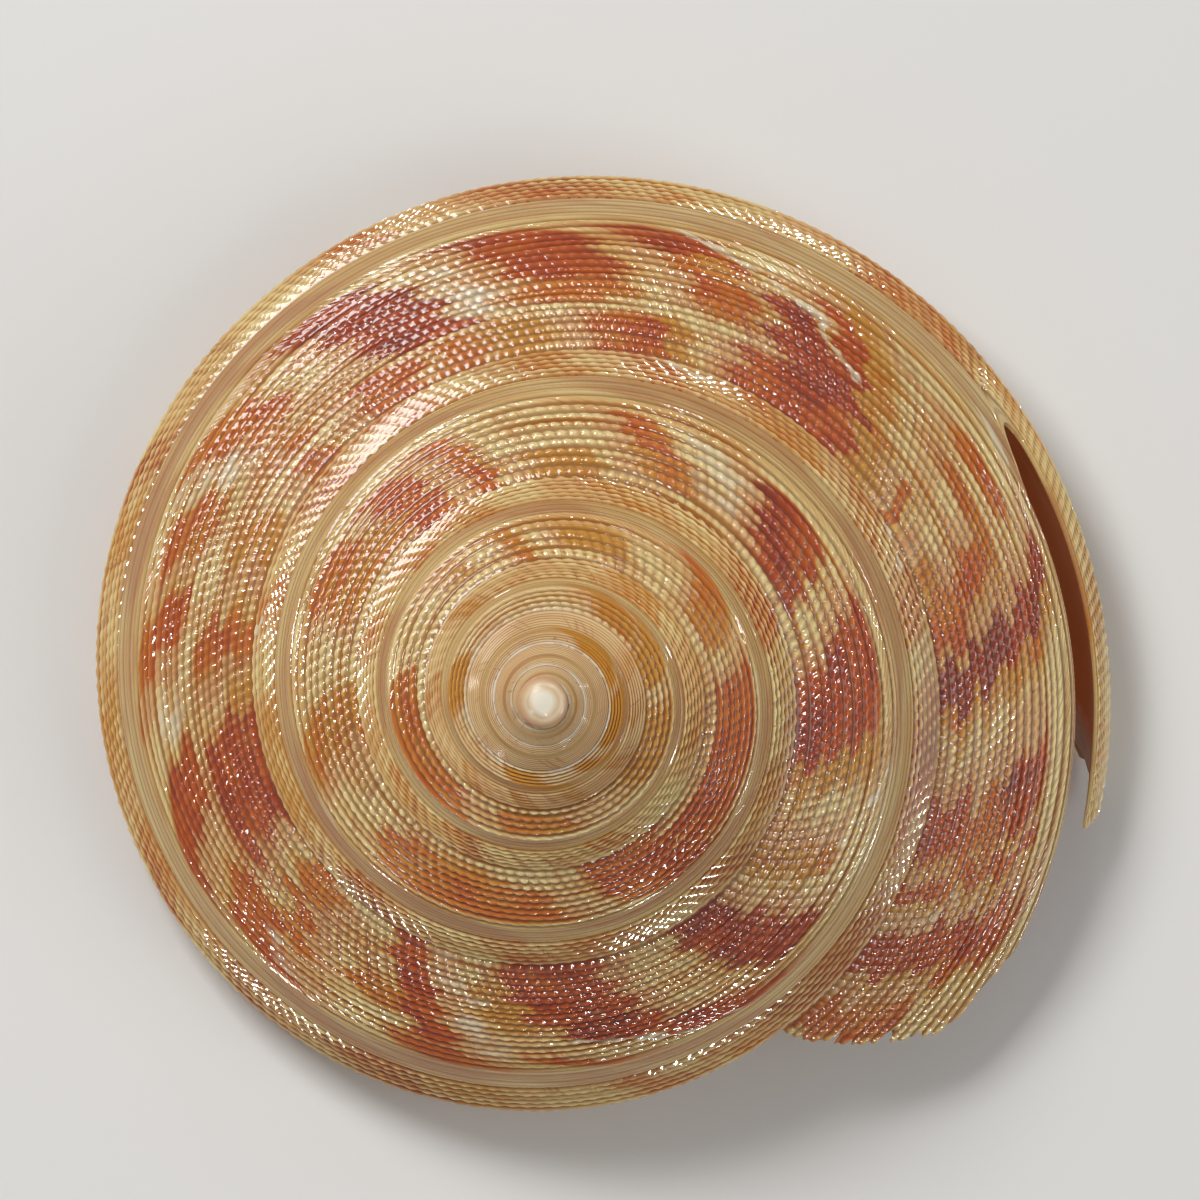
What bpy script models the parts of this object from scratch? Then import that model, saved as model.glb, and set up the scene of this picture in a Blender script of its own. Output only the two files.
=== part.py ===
"""Slit shell: a top-shaped sea shell grown as one piece, with an open slit in its outer lip.

The shell winds about its own axis, apex up, and grows clockwise seen from above.  Growth is
counted in turns: 0 is the place where the lip meets the shell, and -1 is one turn earlier.
Across the wall, 0 is the suture, 1 the edge of the base and 2 the axis, so a point of the
surface is known by its turn and by its place across.  Each turn starts on the edge of the
turn before it.  At the end the shell is leaned to the pose in which it rests.
"""

import math

import bmesh
import bpy
from mathutils import Matrix, Vector

# Spiral, in metres and turns
SUTURE_RADIUS = 0.0321      # axis to the suture, at the lip
TURN_GROWTH = 0.45          # natural logarithm of the growth in one turn
LAST_SLOWING = 0.123        # what the last turn falls short of that growth
CONE_SLOPE = 1.12           # drop of the sutures for each metre of radius
LIP_ANGLE = 58.0            # degrees clockwise from +X to the lip's end on the suture
FIRST_TURN = -6.0
HOLLOW_TURN = -1.3          # where the hollow ends, inside the spire

# Wall between the suture and the edge of the base
SHOULDER_SLOPE = 0.70       # slope under the suture, as a share of the cone's
BAND_MIDDLE = 0.84          # slit band's middle at the lip, across the wall
BAND_DRIFT = 0.088          # how much higher the band lies one turn earlier
BAND_HIGHEST = 0.45
BAND_HALF_WIDTH = 0.058
WALL = 0.0016               # wall thickness of the last turn
LIP_THINNING = 0.45         # share of the wall that is missing at the lip

# Base, as shares of the radius of its edge
BASE_DEPTH = 0.12
BASE_ROUNDING = 0.4
BASE_CENTRE = 0.15
PILLAR = 0.07               # where the columella starts, as a share of the edge's radius

# Lip, in turns behind its end on the suture
LIP_SWEEP = 0.0628
LIP_SWEEP_POWER = 1.2
LIP_NOTCH = 0.058
LIP_NOTCH_FROM = 0.68
LIP_NOTCH_TO = 0.92
BASE_SWEEP = 0.09
BASE_SWEEP_REACH = 0.3
LIP_REACH = 0.25            # the rows bend towards the lip over the last quarter turn
SLIT_TURN = -0.244          # closed end of the slit

# Columella, the pillar on the axis that the mouth shows
COLUMELLA_TOP_RADIUS = 0.0023
COLUMELLA_FOOT_RADIUS = 0.0034
COLUMELLA_BURIED = 0.0005   # how far both of its ends are sunk in the wall
COLUMELLA_SIDES = 24

# Resolution
ROWS = 36                   # rows in one turn
UPPER_COLUMNS = 6
LOWER_COLUMNS = 2
BASE_COLUMNS = (0.0, 0.02, 0.06, 0.14, 0.26, 0.42, 0.62, 0.80, 1.0 - PILLAR, 1.0)
PILLAR_COLUMN = 8
JOIN_DISTANCE = 1e-6

# Rest
LEAN_TOWARDS = 143.3        # degrees clockwise from +X
LEAN = 8.04                 # degrees

BAND_COLUMN = UPPER_COLUMNS
COLUMNS = UPPER_COLUMNS + 1 + LOWER_COLUMNS
LAST_ROW = 0
FIRST_ROW = round(FIRST_TURN * ROWS)
HOLLOW_ROW = round(HOLLOW_TURN * ROWS)


def clear_scene():
    for old in list(bpy.data.objects):
        bpy.data.objects.remove(old)


def smooth_step(low, high, value):
    part = min(1.0, max(0.0, (value - low) / (high - low)))
    return part * part * (3.0 - 2.0 * part)


# The rule of the spiral

def suture_radius(turn):
    growth = TURN_GROWTH * turn
    if turn > 0.0:
        growth -= LAST_SLOWING * turn * turn
    return SUTURE_RADIUS * math.exp(growth)


def band_middle(turn):
    return max(BAND_HIGHEST, BAND_MIDDLE + BAND_DRIFT * turn)


def section(turn, across):
    """Radius and height of the outer surface."""
    edge = suture_radius(turn + 1.0)
    if across <= 1.0:
        start = suture_radius(turn)
        knee = 1.0 / (1.0 - band_middle(turn))
        drop = SHOULDER_SLOPE * across + (1.0 - SHOULDER_SLOPE) * across ** knee
        radius = start + across * (edge - start)
        height = -CONE_SLOPE * (start + drop * (edge - start))
        return radius, height
    inward = min(1.0, across - 1.0)
    swell = math.sin(math.pi * inward ** BASE_ROUNDING) + BASE_CENTRE * inward
    return edge * (1.0 - inward), -edge * (CONE_SLOPE + BASE_DEPTH * swell)


def inner_section(turn, across):
    """The same point moved into the hollow by the thickness of the wall."""
    step = 0.01
    ahead = section(turn, across + step)
    behind = section(turn, across - step)
    along_radius = ahead[0] - behind[0]
    along_height = ahead[1] - behind[1]
    length = math.hypot(along_radius, along_height)
    thickness = WALL * suture_radius(turn + 1.0) / suture_radius(1.0)
    thickness *= 1.0 - LIP_THINNING * near_turn(turn, 0.0)
    radius, height = section(turn, across)
    radius += along_height / length * thickness
    height -= along_radius / length * thickness
    return radius, height


def near_turn(turn, place):
    return max(0.0, 1.0 - abs(turn - place) / LIP_REACH)


def lip_sweep(across):
    """How far behind the suture's end the lip stands, in turns."""
    on_wall = min(1.0, across)
    sweep = LIP_SWEEP * on_wall ** LIP_SWEEP_POWER
    sweep += LIP_NOTCH * smooth_step(LIP_NOTCH_FROM, LIP_NOTCH_TO, on_wall)
    if across > 1.0:
        sweep += BASE_SWEEP * (1.0 - math.exp((1.0 - across) / BASE_SWEEP_REACH))
    return sweep


def parietal_sweep(across):
    """The same for the old base, which is the inner side of the mouth."""
    return lip_sweep(2.0) * smooth_step(0.0, 1.0 - PILLAR, across - 1.0)


def row_turn(row, across):
    """Turn of a grid row, bent to follow the lip and the inner side of the mouth."""
    turn = row / ROWS
    turn -= near_turn(turn, 0.0) * lip_sweep(across) if turn > -LIP_REACH else 0.0
    if across > 1.0:
        turn -= near_turn(row / ROWS, -1.0) * parietal_sweep(across)
    return turn


def place(turn, radius, height):
    angle = math.radians(LIP_ANGLE + 360.0 * turn)
    return Vector((radius * math.cos(angle), -radius * math.sin(angle), height))


# Places across the wall

def wall_across(row, column):
    turn = row / ROWS
    top = band_middle(turn) - BAND_HALF_WIDTH
    foot = band_middle(turn) + BAND_HALF_WIDTH
    if column <= BAND_COLUMN:
        return top * column / UPPER_COLUMNS
    return foot + (1.0 - foot) * (column - BAND_COLUMN - 1) / LOWER_COLUMNS


def outer_wall(row, column):
    across = wall_across(row, column)
    turn = row_turn(row, across)
    return place(turn, *section(turn, across))


def outer_base(row, column):
    across = 1.0 + BASE_COLUMNS[column]
    turn = row_turn(row, across)
    return place(turn, *section(turn, across))


def inner_wall(row, column):
    if column == 0:
        return outer_base(row - ROWS, 1)
    across = wall_across(row, column)
    turn = row_turn(row, across)
    return place(turn, *inner_section(turn, across))


def inner_base(row, column):
    across = 1.0 + BASE_COLUMNS[column]
    turn = row_turn(row, across)
    return place(turn, *inner_section(turn, across))


def in_slit(row, column):
    return column == BAND_COLUMN and row >= round(SLIT_TURN * ROWS)


# Patches of the surface

def add_face(bm, points):
    bm.faces.new([bm.verts.new(point) for point in points])


def add_grid(bm, point, rows, columns, left_out=None):
    """Four-sided faces over a range of rows and columns of a rule."""
    for row in rows:
        for column in columns:
            if left_out and left_out(row, column):
                continue
            corners = ((row, column), (row, column + 1), (row + 1, column + 1), (row + 1, column))
            add_face(bm, [point(*corner) for corner in corners])


def add_apex(bm):
    """Close the first turn with a fan to the apex."""
    loop = [outer_wall(row, 0) for row in range(FIRST_ROW, FIRST_ROW + ROWS + 1)]
    loop += [outer_wall(FIRST_ROW, column) for column in range(COLUMNS - 1, 0, -1)]
    for start, end in zip(loop, loop[1:] + loop[:1]):
        add_face(bm, (Vector(), start, end))


def add_rim(bm):
    """The lip's edge, from the suture to the columella, open where the slit runs out."""
    for column in range(COLUMNS):
        if in_slit(LAST_ROW, column):
            continue
        pair = (column, column + 1)
        outer = [outer_wall(LAST_ROW, each) for each in pair]
        inner = [inner_wall(LAST_ROW, each) for each in pair]
        add_face(bm, (outer[0], outer[1], inner[1], inner[0]))
    for column in range(PILLAR_COLUMN):
        pair = (column, column + 1)
        outer = [outer_base(LAST_ROW, each) for each in pair]
        inner = [inner_base(LAST_ROW, each) for each in pair]
        add_face(bm, (outer[0], outer[1], inner[1], inner[0]))


def add_slit_sides(bm):
    """Both long sides of the slit and its closed end."""
    first = round(SLIT_TURN * ROWS)
    for column in (BAND_COLUMN, BAND_COLUMN + 1):
        for row in range(first, LAST_ROW):
            outer = [outer_wall(each, column) for each in (row, row + 1)]
            inner = [inner_wall(each, column) for each in (row, row + 1)]
            add_face(bm, (outer[0], outer[1], inner[1], inner[0]))
    ends = (BAND_COLUMN, BAND_COLUMN + 1)
    outer = [outer_wall(first, column) for column in ends]
    inner = [inner_wall(first, column) for column in ends]
    add_face(bm, (outer[0], outer[1], inner[1], inner[0]))


def add_columella_side(bm):
    """The inner side of the hollow, between one turn's base and the next."""
    for row in range(HOLLOW_ROW, LAST_ROW):
        lower = [inner_base(each, PILLAR_COLUMN) for each in (row, row + 1)]
        upper = [outer_base(each - ROWS, PILLAR_COLUMN) for each in (row, row + 1)]
        add_face(bm, (lower[0], lower[1], upper[1], upper[0]))


def add_hollow_end(bm):
    loop = [inner_wall(HOLLOW_ROW, column) for column in range(COLUMNS)]
    loop += [inner_base(HOLLOW_ROW, column) for column in range(PILLAR_COLUMN + 1)]
    old_row = HOLLOW_ROW - ROWS
    loop += [outer_base(old_row, column) for column in range(PILLAR_COLUMN, 1, -1)]
    add_face(bm, loop)


def add_mouth_corner(bm):
    """Flat face at the axis, where the base ends in the mouth."""
    old_row = LAST_ROW - ROWS
    axis = PILLAR_COLUMN + 1
    loop = [outer_base(old_row, PILLAR_COLUMN)]
    loop += [outer_base(row, axis) for row in range(old_row, LAST_ROW + 1)]
    loop += [outer_base(LAST_ROW, PILLAR_COLUMN), inner_base(LAST_ROW, PILLAR_COLUMN)]
    add_face(bm, loop)


def make_shell_mesh():
    bm = bmesh.new()
    add_grid(bm, outer_wall, range(FIRST_ROW, LAST_ROW), range(COLUMNS), in_slit)
    add_grid(bm, inner_wall, range(HOLLOW_ROW, LAST_ROW), range(COLUMNS), in_slit)
    add_grid(bm, inner_base, range(HOLLOW_ROW, LAST_ROW), range(PILLAR_COLUMN))
    old_row = LAST_ROW - ROWS
    add_grid(bm, outer_base, range(HOLLOW_ROW - ROWS, old_row), range(1, PILLAR_COLUMN))
    add_grid(bm, outer_base, range(old_row, LAST_ROW), range(PILLAR_COLUMN + 1))
    add_apex(bm)
    add_rim(bm)
    add_slit_sides(bm)
    add_columella_side(bm)
    add_hollow_end(bm)
    add_mouth_corner(bm)
    bmesh.ops.remove_doubles(bm, verts=bm.verts, dist=JOIN_DISTANCE)
    bmesh.ops.recalc_face_normals(bm, faces=bm.faces)
    mesh = bpy.data.meshes.new("shell")
    bm.to_mesh(mesh)
    bm.free()
    return mesh


def make_material():
    material = bpy.data.materials.new("shell")
    material.use_nodes = True
    surface = material.node_tree.nodes["Principled BSDF"]
    surface.inputs["Base Color"].default_value = (0.72, 0.42, 0.25, 1.0)
    surface.inputs["Roughness"].default_value = 0.42
    surface.inputs["Metallic"].default_value = 0.0
    return material


def make_columella(joiners):
    """A tapered rod from the old base in the mouth down to the base's centre."""
    axis = PILLAR_COLUMN + 1
    top = outer_base(LAST_ROW - ROWS, axis).z + COLUMELLA_BURIED
    foot = outer_base(LAST_ROW, axis).z + COLUMELLA_BURIED
    bpy.ops.mesh.primitive_cone_add(
        vertices=COLUMELLA_SIDES, radius1=COLUMELLA_FOOT_RADIUS, radius2=COLUMELLA_TOP_RADIUS,
        depth=top - foot, location=(0.0, 0.0, (top + foot) / 2.0))
    rod = bpy.context.object
    rod.name = "columella_joiner"
    for collection in list(rod.users_collection):
        collection.objects.unlink(rod)
    joiners.objects.link(rod)
    rod.hide_render = True
    rod.display_type = "WIRE"
    return rod


def make_shell(parts, joiners):
    shell = bpy.data.objects.new("shell", make_shell_mesh())
    parts.objects.link(shell)
    shell.data.materials.append(make_material())
    union = shell.modifiers.new("columella", "BOOLEAN")
    union.operation = "UNION"
    union.solver = "EXACT"
    union.object = make_columella(joiners)
    depsgraph = bpy.context.evaluated_depsgraph_get()
    shell.data = bpy.data.meshes.new_from_object(shell.evaluated_get(depsgraph))
    shell.modifiers.clear()
    shell.data.shade_smooth()
    shell.data.set_sharp_from_angle(angle=math.radians(40.0))
    return shell


def rest(shell):
    """Lean the shell on its base and lip, and stand it on the middle of its own box."""
    angle = math.radians(LEAN_TOWARDS)
    side = Vector((math.sin(angle), math.cos(angle), 0.0))
    shell.data.transform(Matrix.Rotation(math.radians(LEAN), 4, side))
    points = [vertex.co for vertex in shell.data.vertices]
    low = [min(point[axis] for point in points) for axis in range(3)]
    high = [max(point[axis] for point in points) for axis in range(3)]
    middle = [(low[axis] + high[axis]) / 2.0 for axis in range(2)]
    shell.location = (-middle[0], -middle[1], -low[2])


def main():
    clear_scene()
    parts = bpy.data.collections.new("slit_shell")
    joiners = bpy.data.collections.new("joiners")
    bpy.context.scene.collection.children.link(parts)
    bpy.context.scene.collection.children.link(joiners)
    rest(make_shell(parts, joiners))


main()
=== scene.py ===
# %% [markdown]
# # A slit shell
# A slit shell is a top-shaped sea snail's shell. Its wall is one long sheet, wound in a spiral, that
# the animal lengthened at the lip a little at a time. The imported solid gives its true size, and this
# lesson makes its surface: cords with beads, growth lines, flames of colour and a pearly inside.
# The first step loads the solid, because every piece below takes its place from it.

# %% Load the frame
import math

import bmesh
import bpy
import numpy as np
from mathutils import Matrix, Vector


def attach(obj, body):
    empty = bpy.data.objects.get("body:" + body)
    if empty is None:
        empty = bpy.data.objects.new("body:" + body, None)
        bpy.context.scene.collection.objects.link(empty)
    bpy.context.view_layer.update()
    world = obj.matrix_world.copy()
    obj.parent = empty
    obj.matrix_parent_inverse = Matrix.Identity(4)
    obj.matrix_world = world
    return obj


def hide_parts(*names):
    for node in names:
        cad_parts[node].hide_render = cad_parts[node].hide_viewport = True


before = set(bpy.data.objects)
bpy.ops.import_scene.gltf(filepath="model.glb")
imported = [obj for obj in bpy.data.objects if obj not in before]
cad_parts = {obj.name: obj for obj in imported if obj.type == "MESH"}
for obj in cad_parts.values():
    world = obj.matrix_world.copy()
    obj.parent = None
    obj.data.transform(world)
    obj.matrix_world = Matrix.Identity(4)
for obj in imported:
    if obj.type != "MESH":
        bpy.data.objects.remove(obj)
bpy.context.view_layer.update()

cad_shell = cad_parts["shell"]

# %% [markdown]
# ## One rule for the whole shell
# A point of the surface is known by its turn, which is 0 at the lip and -1 one turn earlier, and by
# its place across the wall: 0 at the suture, 1 at the edge of the base and 2 on the axis. The rule
# that turns these two numbers into a radius and a height is the same as in the solid. Here it has
# to work in two ways: on plain numbers, and on the sockets of a node tree. So each sum below goes
# through one function that either adds a Math node or works the number out with numpy.

# %% Sums on sockets and on numbers
PLAIN_SUMS = {
    "ADD": np.add, "SUBTRACT": np.subtract, "MULTIPLY": np.multiply, "DIVIDE": np.divide,
    "POWER": np.power, "EXPONENT": np.exp, "SINE": np.sin, "COSINE": np.cos, "SQRT": np.sqrt,
    "MAXIMUM": np.maximum, "MINIMUM": np.minimum, "FLOOR": np.floor, "ABSOLUTE": np.abs,
    "GREATER_THAN": np.greater,
    "LOGARITHM": lambda value, base: np.log(value) / np.log(base),
}


class Wire:
    """A node socket that Python's signs work on. Each sign adds one Math node to its tree."""

    def __init__(self, socket):
        self.socket = socket


def plug(value, socket):
    """Links a wire or a socket to an input, or sets the input to a plain value."""
    value = value.socket if isinstance(value, Wire) else value
    if isinstance(value, bpy.types.NodeSocket):
        socket.id_data.links.new(value, socket)
    else:
        socket.default_value = value


def add_node(tree, kind, values=(), **settings):
    """A node with its settings made, and (input name, value) pairs plugged in."""
    node = tree.nodes.new(kind)
    for name, value in settings.items():
        setattr(node, name, value)
    for name, value in dict(values).items():
        plug(value, node.inputs[name])
    return node


def sum_of(operation, *values):
    wires = [value for value in values if isinstance(value, Wire)]
    if not wires:
        return PLAIN_SUMS[operation](*values)
    node = add_node(wires[0].socket.id_data, "ShaderNodeMath", operation=operation)
    for socket, value in zip(node.inputs, values):
        plug(value, socket)
    return Wire(node.outputs[0])


def add_sign(name, operation):
    """Lets a wire stand before or behind one of Python's signs."""
    setattr(Wire, f"__{name}__", lambda wire, other: sum_of(operation, wire, other))
    setattr(Wire, f"__r{name}__", lambda wire, other: sum_of(operation, other, wire))


SIGNS = (("add", "ADD"), ("sub", "SUBTRACT"), ("mul", "MULTIPLY"), ("truediv", "DIVIDE"))
for sign in SIGNS:
    add_sign(*sign)


def exp(value):
    return sum_of("EXPONENT", value)


def sin(value):
    return sum_of("SINE", value)


def cos(value):
    return sum_of("COSINE", value)


def power(value, exponent):
    return sum_of("POWER", sum_of("MAXIMUM", value, 0.0), exponent)


def clamp(value):
    return sum_of("MINIMUM", sum_of("MAXIMUM", value, 0.0), 1.0)


def mix(start, end, share):
    return start + (end - start) * share


def smooth_step(low, high, value):
    part = clamp((value - low) / (high - low))
    return part * part * (3.0 - 2.0 * part)


def wave(turns):
    """0 at whole turns and 1 half way between them."""
    return 0.5 - 0.5 * cos(turns * math.tau)


print("a wave at a quarter turn is", round(float(wave(0.25)), 2))

# %% [markdown]
# The values of the spiral are the ones the solid was made with. The wall drops like a cone from the
# suture and steepens towards the edge of the base. The base bulges just inside its edge and then
# runs in almost flat. The lip doesn't stand straight across: it sweeps back, and it has a notch
# around the slit. Old lips are still there as growth lines, so a growth line is a curve where the
# turn plus this sweep stays the same.

# %% The rule of the spiral
SUTURE_RADIUS = 0.0321
TURN_GROWTH = 0.45
LAST_SLOWING = 0.123
CONE_SLOPE = 1.12
LIP_ANGLE = 58.0
SHOULDER_SLOPE = 0.70
BAND_MIDDLE = 0.84
BAND_DRIFT = 0.088
BAND_HIGHEST = 0.45
BAND_HALF_WIDTH = 0.058
BAND_WIDENING = 0.0125      # how much wider the band is one turn earlier, on each side
WALL = 0.0016
LIP_THINNING = 0.45
LIP_REACH = 0.25
BASE_DEPTH = 0.12
BASE_ROUNDING = 0.4
BASE_CENTRE = 0.15
LIP_SWEEP = 0.0628
LIP_SWEEP_POWER = 1.2
LIP_NOTCH = 0.058
NOTCH_ABOVE_BAND = 0.16
NOTCH_BELOW_BAND = 0.08
BASE_SWEEP = 0.09
BASE_SWEEP_REACH = 0.3


def suture_radius(turn):
    late = sum_of("MAXIMUM", turn, 0.0)
    return SUTURE_RADIUS * exp(turn * TURN_GROWTH - late * late * LAST_SLOWING)


def band_middle(turn):
    return sum_of("MAXIMUM", turn * BAND_DRIFT + BAND_MIDDLE, BAND_HIGHEST)


def section(turn, across):
    """Radius and height of the outer surface, with the apex at height 0."""
    start = suture_radius(turn)
    edge = suture_radius(turn + 1.0)
    on_wall = sum_of("MINIMUM", across, 1.0)
    inward = clamp(across - 1.0)
    knee = 1.0 / (1.0 - band_middle(turn))
    drop = on_wall * SHOULDER_SLOPE + power(on_wall, knee) * (1.0 - SHOULDER_SLOPE)
    swell = sin(power(inward, BASE_ROUNDING) * math.pi) + inward * BASE_CENTRE
    radius = start + on_wall * (edge - start) - edge * inward
    height = -CONE_SLOPE * (start + drop * (edge - start)) - BASE_DEPTH * edge * swell
    return radius, height


def lip_sweep(across, growth):
    """How far a growth line stands behind its own end on the suture, in turns."""
    on_wall = clamp(across)
    middle = band_middle(growth)
    notch = smooth_step(middle - NOTCH_ABOVE_BAND, middle + NOTCH_BELOW_BAND, on_wall)
    on_base = sum_of("MAXIMUM", across - 1.0, 0.0)
    base_part = (1.0 - exp(on_base / -BASE_SWEEP_REACH)) * BASE_SWEEP
    return power(on_wall, LIP_SWEEP_POWER) * LIP_SWEEP + notch * LIP_NOTCH + base_part


lip_radius, lip_height = section(0.0, 1.0)

# %% [markdown]
# The shell lies on its base and lip, so its axis leans. The same lean, about the same line, takes
# the upright shell to its place, and the highest point of the solid shows where the apex goes.

# %% Where the shell lies
LEAN_TOWARDS = 143.3
LEAN = 8.04

apex = max((vertex.co for vertex in cad_shell.data.vertices), key=lambda point: point.z)
lean_angle = math.radians(LEAN_TOWARDS)
lean_line = Vector((math.sin(lean_angle), math.cos(lean_angle), 0.0))
SHELL_PLACE = Matrix.Translation(apex) @ Matrix.Rotation(math.radians(LEAN), 4, lean_line)

# %% [markdown]
# ## Camera
# The picture is taken from almost straight above, so that the eye looks close to along the
# shell's axis. A long lens far away keeps the tall spire from looking larger than the rim.

# %% Camera above the spire
PICTURE_WIDTH = 0.0931          # what the picture takes in, in metres
SENSOR_WIDTH = 36.0             # of the camera, in millimetres
CAMERA_DISTANCE = 1.5
CAMERA_LEAN = 5.4               # degrees from straight down
CAMERA_LEAN_TOWARDS = 143.3     # degrees clockwise from +X
AIM = Vector((-0.0015, 0.0027, 0.020))


def make_camera():
    data = bpy.data.cameras.new("camera")
    data.sensor_width = SENSOR_WIDTH
    data.lens = data.sensor_width * CAMERA_DISTANCE / PICTURE_WIDTH
    data.clip_start = 0.05
    data.clip_end = 10.0
    camera = bpy.data.objects.new("camera", data)
    bpy.context.scene.collection.objects.link(camera)
    towards = math.radians(-CAMERA_LEAN_TOWARDS)
    lean = math.radians(CAMERA_LEAN)
    sideways = Vector((math.cos(towards), math.sin(towards), 0.0)) * math.sin(lean)
    back = sideways + Vector((0.0, 0.0, math.cos(lean)))
    camera.location = AIM + back * CAMERA_DISTANCE
    right = Vector((0.0, 1.0, 0.0)).cross(back).normalized()
    up = back.cross(right)
    turned = Matrix((right, up, back)).transposed().to_4x4()
    camera.matrix_world = Matrix.Translation(camera.location) @ turned
    bpy.context.scene.camera = camera
    return camera


camera = make_camera()
print("the lens is", round(camera.data.lens), "mm long")

# %% [markdown]
# ## Cords and beads
# Spiral cords run round the wall: eighteen above the slit band and six below it on the last turn,
# and broader, flatter ones on the base. Growth lines cut each cord into beads of nearly the same
# length everywhere, so the number of beads in a turn grows with the turn. The wall is a grid whose
# rows are growth lines, four to a bead, and whose columns follow the cords, four to a cord. A grid
# that follows the pattern needs far fewer points than a fine even one for the same crisp beads.
# Cords are counted from the suture: 0 to 18 above the band, 18 to 21 the band, 21 to 27 below it,
# and 27 to 53 the base.

# %% Counting cords and beads
BEADS = 563.4               # beads from the apex to the lip
ROWS_PER_BEAD = 4
COLUMNS_PER_CORD = 4
BAND_START = 18.0
BAND_END = 21.0
MIDDLE_CORD = (BAND_START + BAND_END) / 2.0
EDGE_CORD = 27.0
AXIS_CORD = 53.0
CORD_SPACING = 0.90         # below 1 the cords near the suture are the wider ones
TUCK = 0.04                 # how far the wall starts under the older turn, for one cord
BASE_REACH = 0.955          # share of the base before the columella takes over
SLIT_BEAD = 527
SLIT_UPPER_EDGE = 0.12      # places across the band, as shares of its width
SLIT_LOWER_EDGE = 0.97
SLIT_ROUNDING = 0.03        # turns over which the closed end of the slit widens
SLIT_WIDENING = 0.03        # how much farther the open slit's band reaches down the wall
PLATE_SHARE = 0.25          # share of the band's columns that each side of the slit keeps
BASE_SPACING = 0.42         # below 1 the base's cords are the closer ones near its edge
BASE_FIRST_STEP = 0.82      # how much the very first cords of the base draw together
BASE_FIRST_REACH = -8.9
BASE_SPACING_END = 2.5


def band_part(cord):
    """Place across the slit band: 0 at its upper edge and 1 at its lower one."""
    return (cord - BAND_START) / (BAND_END - BAND_START)


def slit_opening(growth):
    """0 at the closed end of the slit, and 1 where it has its full width."""
    slit_start = math.log(SLIT_BEAD / BEADS) / TURN_GROWTH
    opened = clamp((growth - slit_start) / SLIT_ROUNDING)
    return sum_of("SQRT", clamp(opened * (2.0 - opened)))


def slit_place(part, growth):
    """Place across the band, as a share, on the two plates beside the open slit."""
    widening = slit_opening(growth)
    lower_edge = SLIT_UPPER_EDGE + (SLIT_LOWER_EDGE - SLIT_UPPER_EDGE) * widening
    upper_plate = part * (SLIT_UPPER_EDGE / PLATE_SHARE)
    on_lower = (part - 1.0) / PLATE_SHARE + 1.0
    lower_plate = mix(lower_edge, 1.0, on_lower)
    return mix(upper_plate, lower_plate, sum_of("GREATER_THAN", part, 0.5))


def place_of_cord(cord, growth, slit):
    """Place across the wall of a cord counted from the suture."""
    half = BAND_HALF_WIDTH - BAND_WIDENING * growth
    top = band_middle(growth) - half
    foot = top + 2.0 * half + slit * slit_opening(growth) * SLIT_WIDENING
    under = sum_of("MINIMUM", cord, 0.0) * TUCK
    above = top * power(clamp(cord / BAND_START), CORD_SPACING)
    part = clamp(band_part(cord))
    in_band = (foot - top) * mix(part, slit_place(part, growth), slit)
    below = (1.0 - foot) * clamp((cord - BAND_END) / (EDGE_CORD - BAND_END))
    on_base = clamp((cord - EDGE_CORD) / (AXIS_CORD - EDGE_CORD))
    even = power(on_base, BASE_SPACING) * (1.0 - BASE_FIRST_STEP * exp(on_base * BASE_FIRST_REACH))
    return under + above + in_band + below + BASE_REACH * power(even, BASE_SPACING_END)


print("the band's middle lies", round(float(place_of_cord(MIDDLE_CORD, 0.0, 0.0)), 2),
      "across the wall at the lip")

# %% [markdown]
# No shell is quite regular, so noise goes into nearly every rule below. It is read in the shell's own
# numbers, beads and cords, so that it stretches with the shell as growth does.

# %% Noise on cords and beads
def vector_of(tree, x, y, z):
    return add_node(tree, "ShaderNodeCombineXYZ", zip("XYZ", (x, y, z))).outputs[0]


def noise_at(tree, vector, scale, detail):
    """Smooth noise at a vector, as a wire with values round one half."""
    values = {"Vector": vector, "Scale": scale, "Detail": detail}
    return Wire(add_node(tree, "ShaderNodeTexNoise", values).outputs[0])


def noise_along(tree, x, y, z=0.0, detail=1.0):
    """Noise in the shell's own numbers, such as cords and beads. The third number picks a pattern."""
    return noise_at(tree, vector_of(tree, x, y, z), 1.0, detail)

# %% [markdown]
# The relief only cuts into the surface of the rule, so the beads' tops stay inside the solid's
# size. Earlier turns have fewer, coarser cords: new ones come up between the old ones as the shell
# grows. The slit band is the healed part of the slit. It has fine threads and small crescents
# instead of beads, and it lies a little lower than the cords beside it.

# %% Relief of the outer surface
INSET = 0.00012             # bead tops below the rule's surface
RELIEF = 0.00031            # bead tops to the bottom of the grooves
BEAD_SHARE = 0.60           # how much of a cord's height the gaps between its beads take
OUTER_BEAD_SHARE = 0.34     # the same near the band and below it, where the beads are weaker
OUTER_CORDS = (7.0, 16.0)   # cords over which the one share gives place to the other
CREST_ROUNDING = 0.78       # below 1 the crests are broader than the grooves
RELIEF_DETAIL = 2.0         # finer layers in the noises of the relief
MEANDER = 1.4               # cords that the noise moves a cord at most, to both sides together
FIRST_RELIEF_TURN = -5.5
FULL_RELIEF_TURN = -2.9
FIRST_BEAD_TURN = -4.3
FULL_BEAD_TURN = -3.3
SECOND_CORDS = (-2.6, -2.0)     # turns over which the second set of cords comes up
THIRD_CORDS = (-1.35, -0.85)
BAND_LEVEL = 0.42
BASE_RELIEF = 0.62
BASE_BEADS = 0.45


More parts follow.
